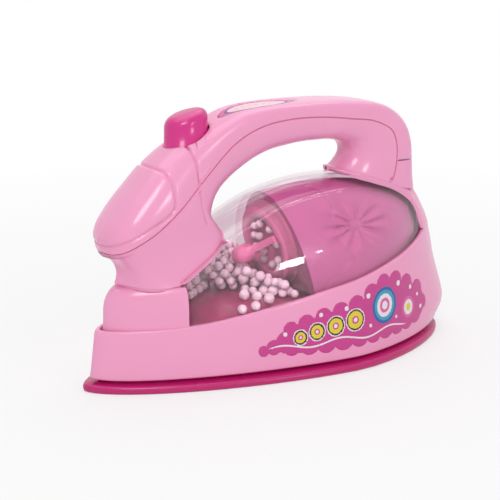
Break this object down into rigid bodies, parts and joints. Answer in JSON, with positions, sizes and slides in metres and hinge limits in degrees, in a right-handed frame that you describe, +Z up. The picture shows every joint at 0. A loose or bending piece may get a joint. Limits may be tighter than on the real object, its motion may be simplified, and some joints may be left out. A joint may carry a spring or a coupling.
{
  "type": "toy iron",
  "caption": "Toy steam iron with a loop handle, a sprung push button, a clear dome with foam balls and a stirrer fan, and a battery door in the sole.",
  "frame": {"origin": "on the ground under the middle of the bounding box, with the sole flat on z = 0", "axes": "the toe points to -X and the heel to +X, Y is across the toy with the pictured side at -Y, +Z is up"},
  "size_m": [0.12, 0.05, 0.073],
  "materials": {
    "pink_plastic": "gloss moulded, light pink",
    "magenta_plastic": "gloss moulded, magenta",
    "button_plastic": "gloss moulded, magenta",
    "hood_plastic": "satin moulded, deep pink",
    "fan_plastic": "satin moulded, pink",
    "clear_plastic": "clear moulded polystyrene",
    "badge_film": "printed film under clear coat, bare field",
    "foam": "expanded foam",
    "white_nylon": "moulded, off-white",
    "black_plastic": "moulded, black",
    "motor_steel": "zinc-plated steel",
    "zinc_steel": "zinc-plated steel",
    "contact_metal": "nickel-plated spring steel",
    "cell_film": "printed cell jacket, plain green",
    "board_laminate": "phenolic board"
  },
  "bodies": {
    "housing": {"sole_plate": "magenta_plastic", "housing_screws": "zinc_steel", "body_shell": "pink_plastic", "handle_lower": "pink_plastic", "handle_cover": "pink_plastic", "handle_badge": "badge_film", "clear_dome": "clear_plastic", "clear_bulkhead": "clear_plastic", "bead_tray": "hood_plastic", "inner_hood": "hood_plastic", "motor_holder": "fan_plastic", "motor_can": "motor_steel", "motor_end_cap": "white_nylon", "foam_beads": "foam", "batteries": "cell_film", "battery_contacts": "contact_metal", "battery_springs": "contact_metal", "button_spring": "contact_metal", "switch_board": "board_laminate", "push_switch": "black_plastic"},
    "button": {"push_button": "button_plastic"},
    "rotor": {"impeller": "fan_plastic", "motor_shaft": "motor_steel"},
    "door": {"battery_door": "magenta_plastic", "battery_door_screw": "zinc_steel"}
  },
  "joints": [
    {"name": "button_press", "type": "slide", "parent": "housing", "child": "button", "axis": [0, 0, -1], "range_m": [0, 0.0025], "stiffness_N_per_m": 180, "deforming": ["button_spring"]},
    {"name": "fan_spin", "type": "hinge", "parent": "housing", "child": "rotor", "pos_m": [-0.0033, 0, 0.03278], "axis": [-0.9724, 0, -0.2334], "continuous": true},
    {"name": "door_out", "type": "slide", "parent": "housing", "child": "door", "axis": [0, 0, -1], "range_m": [0, 0.012]}
  ]
}
